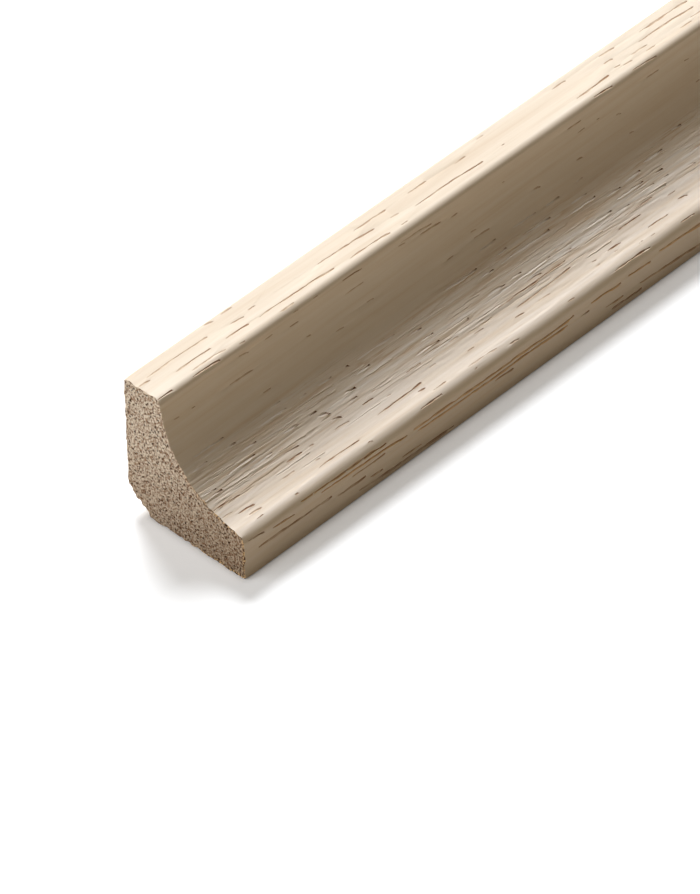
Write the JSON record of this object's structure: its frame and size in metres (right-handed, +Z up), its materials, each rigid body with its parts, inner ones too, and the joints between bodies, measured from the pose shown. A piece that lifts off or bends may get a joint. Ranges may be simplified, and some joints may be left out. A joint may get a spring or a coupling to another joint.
{
  "type": "scotia moulding",
  "caption": "Straight wooden scotia moulding with a hollow quarter-round face, flat lands and a chamfered hidden corner, to trim the joint between a floor and a wall.",
  "frame": {"origin": "middle of the length and of the projection, on the floor face", "axes": "+X along the grain, away from the pictured end; +Y towards the wall; +Z up the wall. The hollow face looks to -Y and +Z"},
  "size_m": [1, 0.0174, 0.018],
  "materials": {
    "light_hardwood": "bare planed timber, matt"
  },
  "bodies": {
    "root": {"scotia_moulding": "light_hardwood"}
  },
  "joints": []
}
